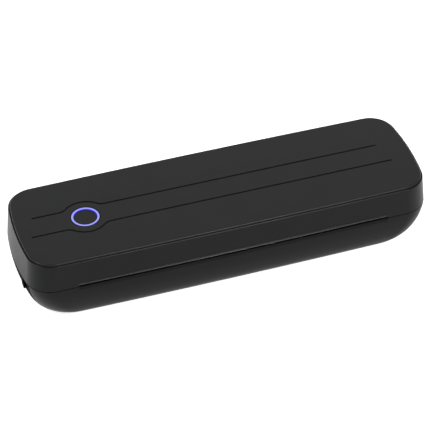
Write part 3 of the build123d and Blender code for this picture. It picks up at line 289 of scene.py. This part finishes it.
finishes = {
    "casing": moulded("graphite_casing", (0.0042, 0.0043, 0.0047), 0.36, ior=1.2),
    "lower_casing": moulded("graphite_lower_casing", (0.0042, 0.0043, 0.0047), 0.36, ior=1.165),
    "panel": moulded("graphite_top_panel", (0.0075, 0.0076, 0.008), 0.36, ior=1.27),
    # near black and barely reflecting: the trim's own black plastic, darkened further as painted shade on
    # the end plate, where the casing's end falls into shade
    "trim": moulded("black_trim_and_painted_shade", (0.0015, 0.0015, 0.0016), 0.6, relief=0.02, ior=1.3, shine=0.03),
    # the ring glows pale on its top face and a darker blue on its walls, which is painted shade
    "light_guide": lit_guide("lit_light_guide", (0.33, 0.33, 1.0), (0.025, 0.03, 0.8), ring_top,
                             ring_middle, ring_radius - LIT_INSET),
    "button": moulded("satin_button", (0.0068, 0.0069, 0.0073), 0.36, ior=1.27),
    "lip_edge": moulded("polished_lip_edge", (0.0068, 0.0069, 0.0073), 0.3, ior=1.42),
    "foot_rubber": moulded("foot_rubber", (0.016, 0.016, 0.017), 0.75, grain=0.8, relief=0.3),
    "roller_rubber": moulded("roller_rubber", (0.035, 0.035, 0.038), 0.6, grain=0.5, relief=0.3),
    "steel": metal("ground_steel", (0.56, 0.57, 0.58), 0.28),
    "plated_sheet": metal("zinc_plated_sheet", (0.52, 0.53, 0.51), 0.38, fineness=0.5),
    "screws": metal("blackened_screws", (0.16, 0.16, 0.17), 0.4),
    "gear_plastic": moulded("acetal_gears", (0.72, 0.70, 0.63), 0.4, contrast=0.04),
    "pinion_brass": metal("cut_brass", (0.75, 0.55, 0.24), 0.3),
    "tray_plastic": moulded("tray_plastic", (0.028, 0.028, 0.031), 0.5, grain=0.6, relief=0.15),
    "head_ceramic": moulded("glazed_head_ceramic", (0.66, 0.64, 0.57), 0.15, contrast=0.04, coat=0.4),
    "head_metal": metal("extruded_aluminium", (0.74, 0.75, 0.76), 0.34, fineness=0.6),
    "cell_wrap": moulded("cell_shrink_film", (0.03, 0.2, 0.17), 0.3, relief=0.02, coat=0.3),
    "circuit_board": moulded("green_solder_mask", (0.012, 0.085, 0.04), 0.3, relief=0.05, coat=0.3),
    "component_black": moulded("black_moulded_parts", (0.018, 0.018, 0.019), 0.5),
    "connector_white": moulded("ivory_connectors", (0.62, 0.60, 0.54), 0.45, contrast=0.04),
    "contact_metal": metal("plated_contacts", (0.74, 0.66, 0.45), 0.3),
    "ribbon_film": moulded("ribbon_film", (0.5, 0.54, 0.58), 0.25, contrast=0.05, coat=0.3),
}
node_slot = {entry["node"]: entry["material_slot"] for entry in frame["record"]["subparts"]}
own_finish = {"power_button": "button", "base_shell": "lower_casing"}


def finish_of(name):
    """A node's own finish, or else its slot's."""
    return finishes[own_finish.get(name, node_slot[name])]


for name, obj in nodes.items():
    obj.data.materials.clear()
    obj.data.materials.append(finish_of(name))


# ---------------------------------------------------------------- pieces
def linked(name, mesh, body):
    obj = bpy.data.objects.new(name, mesh)
    bpy.context.scene.collection.objects.link(obj)
    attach(obj, body)
    return obj


# ---------------------------------------------------------------- the casings' curved form
# millimetres, with the overall sizes from the frame
HALF_LENGTH, HALF_DEPTH, TOP_Z = (round(value / MM, 2) for value in cad_box[1])
FOOT_HEIGHT = 1.0
BASE_HEIGHT = 29.5
PART_Z = FOOT_HEIGHT + BASE_HEIGHT
LID_HEIGHT = round(TOP_Z - PART_Z, 2)
SIDE_BOW = 1.15
END_BOW = 5.8
TOP_END_BOW = 4.0
CORNER = 17.8
END_FLARE = 3.1
END_UNDERCUT = 19.0
SIDE_UNDERCUT = 9.5
CORNER_GROWTH = 0.5
BASE_DRAFT = 0.07
FORM_STEP = 0.02                # for the slope of the form
FORM_TOLERANCE = 0.06           # corners this near to the form lie on it
FORM_FACING = 0.9               # and the faces on it face nearly the same way
CASING_CREASE = math.radians(30)
MERGE_REACH = 0.001 * MM


def draw_in(undercut, depth):
    """How far a base wall has drawn in at a depth below the parting plane."""
    share = min(1.0, max(0.0, depth / BASE_HEIGHT))
    return undercut * (1 - math.sqrt(1 - share ** 2)) + BASE_DRAFT * depth * (1 - share)


def base_plan(z):
    """Half length, half depth, end bow and corner radius of the base's plan at a height."""
    end = draw_in(END_UNDERCUT, PART_Z - z)
    side = draw_in(SIDE_UNDERCUT, PART_Z - z)
    return HALF_LENGTH - end, HALF_DEPTH - side, END_BOW, CORNER + CORNER_GROWTH * (end + side) / 2


def lid_plan(z):
    """The same four sizes of the lid."""
    share = (z - PART_Z) / LID_HEIGHT
    bow = END_BOW + (TOP_END_BOW - END_BOW) * share
    return HALF_LENGTH - END_FLARE * share, HALF_DEPTH, bow, CORNER


def outside(plan, x, y, z):
    """Distance in mm of a point from the casing's plan at its own height, positive outside."""
    half_x, half_y, bow, corner = plan(z)
    x, y = abs(x), abs(y)
    chord_x, chord_y = half_x - bow, half_y - SIDE_BOW
    side_radius = (chord_x ** 2 + SIDE_BOW ** 2) / (2 * SIDE_BOW)
    end_radius = (chord_y ** 2 + bow ** 2) / (2 * bow)
    side_centre = Vector((0, half_y - side_radius))
    end_centre = Vector((half_x - end_radius, 0))
    # centre of the corner's round, where circles about both centres meet
    reach_side, reach_end = side_radius - corner, end_radius - corner
    apart = (end_centre - side_centre).length
    along = (apart ** 2 + reach_side ** 2 - reach_end ** 2) / (2 * apart)
    aside = math.sqrt(max(0.0, reach_side ** 2 - along ** 2))
    axis = (end_centre - side_centre) / apart
    centre = side_centre + axis * along + Vector((axis.y, -axis.x)) * aside
    point = Vector((x, y))
    low = math.atan2(*reversed(centre - end_centre))
    high = math.atan2(*reversed(centre - side_centre))
    bearing = math.atan2(*reversed(point - centre))
    if low <= bearing <= high:
        return (point - centre).length - corner
    if bearing > high:
        return (point - side_centre).length - side_radius
    return (point - end_centre).length - end_radius


def outward(plan, place):
    """Unit normal of the casing's form through a place given in mm."""
    slope = []
    for axis in range(3):
        ahead, behind = list(place), list(place)
        ahead[axis] += FORM_STEP
        behind[axis] -= FORM_STEP
        slope.append(outside(plan, *ahead) - outside(plan, *behind))
    return Vector(slope).normalized()


def merged(name):
    """A joined-up copy of a CAD node's mesh."""
    form = bmesh.new()
    form.from_mesh(nodes[name].data)
    bmesh.ops.remove_doubles(form, verts=form.verts, dist=MERGE_REACH)
    mesh = bpy.data.meshes.new(name + "_form")
    form.to_mesh(mesh)
    form.free()
    mesh.attributes.remove(mesh.attributes["custom_normal"])
    mesh.materials.append(finish_of(name))
    return mesh


def casing(name, body, new_name, plan):
    """A casing copied from its CAD node, with the curved form's own normals on its outside."""
    mesh = merged(name)
    mesh.shade_smooth()
    mesh.set_sharp_from_angle(angle=CASING_CREASE)
    places = [tuple(value / MM for value in vertex.co) for vertex in mesh.vertices]
    on_form = [abs(outside(plan, *place)) < FORM_TOLERANCE for place in places]
    form_faces = []
    for face in mesh.polygons:
        middle = tuple(value / MM for value in face.center)
        on_it = all(on_form[corner] for corner in face.vertices)
        if on_it and outward(plan, middle).dot(face.normal) > FORM_FACING:
            form_faces.append(face)
    # the form ends in a crisp edge where a lip, the rim or an opening cuts it
    sides = [0] * len(mesh.edges)
    for face in form_faces:
        for loop in face.loop_indices:
            sides[mesh.loops[loop].edge_index] += 1
    for edge, count in zip(mesh.edges, sides):
        if count == 1:
            edge.use_edge_sharp = True
    facing = {corner: outward(plan, places[corner]) for face in form_faces for corner in face.vertices}
    normals = [Vector((0, 0, 0))] * len(mesh.loops)
    for face in form_faces:
        for corner, loop in zip(face.vertices, face.loop_indices):
            normals[loop] = facing[corner]
    mesh.normals_split_custom_set(normals)
    obj = linked(new_name, mesh, body)
    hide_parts(name)


casing("base_shell", "base", "base_casing", base_plan)
casing("lid_shell", "lid", "lid_casing", lid_plan)

# ---------------------------------------------------------------- rolled edge of the slot's upper lip
SLOT_INSET = 34.5               # the slot's ends, in from the casing's ends
SLOT_HALF = HALF_LENGTH - SLOT_INSET
LIP_RISE = 1.4                  # the lip's lower edge, above the parting plane
ROLL_RADIUS = 0.42
ROLL_DEPTH = 0.62               # the roll's axis, in from the front wall
ROLL_SIDES = 16
ROLL_STEPS = 62
ROLL_CREASE = math.radians(40)


def lip_roll():
    """A thin rounded edge along the lid's lip, following the front wall's bow."""
    form = bmesh.new()
    bmesh.ops.create_cone(form, cap_ends=True, segments=ROLL_SIDES, radius1=ROLL_RADIUS * MM,
                          radius2=ROLL_RADIUS * MM, depth=2 * SLOT_HALF * MM,
                          matrix=Matrix.Rotation(math.radians(90), 4, "Y"))
    along = [edge for edge in form.edges if abs(edge.verts[0].co.x - edge.verts[1].co.x) > SLOT_HALF * MM]
    bmesh.ops.subdivide_edges(form, edges=along, cuts=ROLL_STEPS)
    for vertex in form.verts:
        share = vertex.co.x / ((HALF_LENGTH - END_BOW) * MM)
        vertex.co.y += (ROLL_DEPTH - HALF_DEPTH + SIDE_BOW * share ** 2) * MM
        vertex.co.z += (PART_Z + LIP_RISE + ROLL_RADIUS) * MM
    bmesh.ops.recalc_face_normals(form, faces=form.faces)
    mesh = bpy.data.meshes.new("slot_lip_edge")
    form.to_mesh(mesh)
    form.free()
    mesh.shade_smooth()
    mesh.set_sharp_from_angle(angle=ROLL_CREASE)
    mesh.materials.append(finishes["lip_edge"])
    obj = linked("slot_lip_edge", mesh, "lid")


lip_roll()


# ---------------------------------------------------------------- the top panel
GROOVE_ROUND = 0.6 * MM         # the width asked for: clamping leaves about 0.05 mm of it
GROOVE_SEGMENTS = 3
GROOVES_HALF_LENGTH = 132 * MM  # the grooves lie within this stretch of the panel
GROOVES_HALF_DEPTH = 20 * MM
RING_CLEARANCE = 1.0 * MM       # the ring's hole keeps its crisp edge, this far out from the ring
PANEL_UP = 0.9                  # faces of the top, by their normal's height
PANEL_STEEP = 0.3               # and the grooves' walls
PANEL_CREASE = math.radians(32)
SAME_FACING = 0.995
NEIGHBOURS = 24


def carry_normals(source, mesh, rounded):
    """Gives a reshaped copy the source's own corner normals, apart from its newly rounded faces."""
    places = []
    for face in source.polygons:
        for corner, loop in zip(face.vertices, face.loop_indices):
            places.append((source.vertices[corner].co, face.normal, source.corner_normals[loop].vector))
    tree = KDTree(len(places))
    for index, (place, *_) in enumerate(places):
        tree.insert(place, index)
    tree.balance()
    normals = [Vector((0, 0, 0))] * len(mesh.loops)
    crown = {}
    for face in mesh.polygons:
        if face.index in rounded:
            continue
        for corner, loop in zip(face.vertices, face.loop_indices):
            for _, index, _ in tree.find_n(mesh.vertices[corner].co, NEIGHBOURS):
                if places[index][1].dot(face.normal) > SAME_FACING:
                    normals[loop] = places[index][2].copy()
                    break
            if face.normal.z > PANEL_UP:
                crown[corner] = normals[loop]
    for face in mesh.polygons:
        if face.index in rounded:
            for corner, loop in zip(face.vertices, face.loop_indices):
                normals[loop] = crown.get(corner, normals[loop])
    mesh.normals_split_custom_set(normals)


def soft_panel():
    """The top panel copied from its CAD node, its grooves' upper edges eased by about 0.05 mm."""
    form = bmesh.new()
    form.from_mesh(merged("top_panel"))
    form.normal_update()
    rim = []
    for edge in form.edges:
        if len(edge.link_faces) != 2:
            continue
        flat = [face for face in edge.link_faces if face.normal.z > PANEL_UP]
        steep = [face for face in edge.link_faces if abs(face.normal.z) < PANEL_STEEP]
        middle = (edge.verts[0].co + edge.verts[1].co) / 2
        inner = abs(middle.y) < GROOVES_HALF_DEPTH and abs(middle.x) < GROOVES_HALF_LENGTH
        from_ring = (middle.xy - Vector(ring_middle[:2])).length
        near_ring = from_ring < ring_radius + RING_CLEARANCE
        if flat and steep and inner and not near_ring and edge.calc_face_angle_signed() > 0:
            rim.append(edge)
    made = bmesh.ops.bevel(form, geom=rim, affect="EDGES", offset=GROOVE_ROUND, segments=GROOVE_SEGMENTS,
                           profile=0.5, material=-1, clamp_overlap=True)
    form.faces.index_update()
    rounded = {face.index for face in made["faces"]}
    mesh = bpy.data.meshes.new("soft_top_panel")
    form.to_mesh(mesh)
    form.free()
    mesh.shade_smooth()
    mesh.set_sharp_from_angle(angle=PANEL_CREASE)
    carry_normals(nodes["top_panel"].data, mesh, rounded)
    mesh.materials.append(finishes["panel"])
    obj = linked("soft_top_panel", mesh, "lid")
    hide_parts("top_panel")


soft_panel()


# ---------------------------------------------------------------- floor and light
def seen_rays(tree):
    """1 for rays from the camera, reflected rays and transmitted rays, 0 for the rest."""
    path = node(tree, "ShaderNodeLightPath")
    seen = node(tree, "ShaderNodeMath", operation="MAXIMUM")
    seen_too = node(tree, "ShaderNodeMath", operation="MAXIMUM")
    tree.links.new(path.outputs["Is Camera Ray"], seen.inputs[0])
    tree.links.new(path.outputs["Is Glossy Ray"], seen.inputs[1])
    tree.links.new(seen.outputs[0], seen_too.inputs[0])
    tree.links.new(path.outputs["Is Transmission Ray"], seen_too.inputs[1])
    return seen_too.outputs[0]


FLOOR_REACH = 6.0
FLOOR_LIFT = 0.7
ROOM_LIGHT = 0.55

world = bpy.data.worlds.new("soft_room")
bpy.context.scene.world = world
world.use_nodes = True
tree = world.node_tree
background = tree.nodes["Background"]
background.inputs["Color"].default_value = (1, 1, 1, 1)
level = node(tree, "ShaderNodeMapRange")
level.inputs["To Min"].default_value = ROOM_LIGHT
level.inputs["To Max"].default_value = 1.0
tree.links.new(seen_rays(tree), level.inputs["Value"])
tree.links.new(level.outputs["Result"], background.inputs["Strength"])

floor_form = bmesh.new()
bmesh.ops.create_grid(floor_form, x_segments=1, y_segments=1, size=FLOOR_REACH)
floor_mesh = bpy.data.meshes.new("floor")
floor_form.to_mesh(floor_mesh)
floor_form.free()
floor = bpy.data.objects.new("floor", floor_mesh)
bpy.context.scene.collection.objects.link(floor)
floor_material, tree, shader = material("pale_floor")
shader.inputs["Base Color"].default_value = (0.86, 0.86, 0.86, 1)
shader.inputs["Roughness"].default_value = 0.9
shader.inputs["Specular IOR Level"].default_value = 0.0
lift = node(tree, "ShaderNodeMath", operation="MULTIPLY")
lift.inputs[1].default_value = FLOOR_LIFT
shader.inputs["Emission Color"].default_value = (1, 1, 1, 1)
tree.links.new(seen_rays(tree), lift.inputs[0])
tree.links.new(lift.outputs[0], shader.inputs["Emission Strength"])
floor_mesh.materials.append(floor_material)


def softbox(name, place, aim, size, power):
    lamp = bpy.data.lights.new(name, "AREA")
    lamp.shape = "RECTANGLE"
    lamp.size, lamp.size_y = size
    lamp.energy = power
    obj = bpy.data.objects.new(name, lamp)
    obj.location = place
    obj.rotation_euler = (Vector(aim) - Vector(place)).to_track_quat("-Z", "Y").to_euler()
    bpy.context.scene.collection.objects.link(obj)


softbox("front_softbox", (0.34, -0.96, 1.1), (0, 0, 0.03), (0.42, 0.42), 13.0)
softbox("left_softbox", (-0.9, -0.1, 0.7), (-0.25, -0.02, 0), (0.5, 0.5), 4.0)
